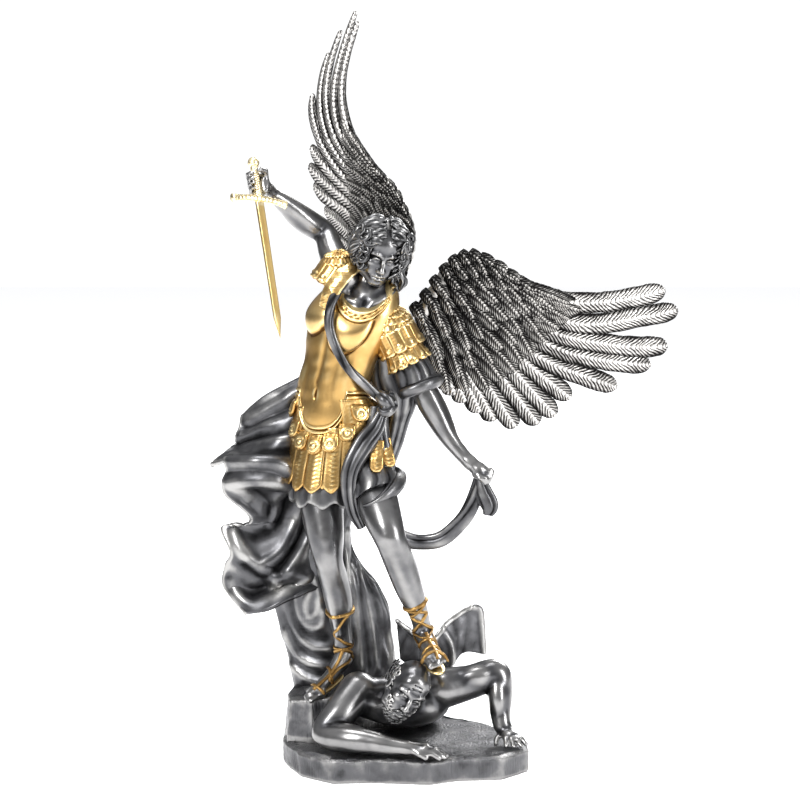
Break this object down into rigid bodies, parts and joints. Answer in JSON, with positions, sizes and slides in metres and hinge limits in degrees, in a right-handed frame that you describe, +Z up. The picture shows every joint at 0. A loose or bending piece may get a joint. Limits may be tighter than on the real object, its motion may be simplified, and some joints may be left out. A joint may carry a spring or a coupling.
{
  "type": "archangel statue",
  "caption": "Cast figurine of a winged archangel with a raised sword who stands on a fallen demon, on an irregular rock plinth.",
  "frame": {"origin": "centre of the plinth's underside, on the plane that it stands on", "axes": "+Z up towards the raised wing's tip, -Y towards the viewer who faces the figure, +X to that viewer's right"},
  "size_m": [0.2361, 0.1099, 0.3695],
  "materials": {
    "dark_pewter": "cold-cast resin, dark pewter metallic finish with gold paint on the armour, half polished",
    "silver_right": "cold-cast resin, silver metallic finish with a black wash in the grooves",
    "silver_left": "cold-cast resin, silver metallic finish with a black wash in the grooves",
    "pale_gold": "pale gold metallic paint, satin"
  },
  "bodies": {
    "root": {"archangel_group": "dark_pewter", "right_wing": "silver_right", "left_wing": "silver_left", "sword": "pale_gold"}
  },
  "joints": []
}
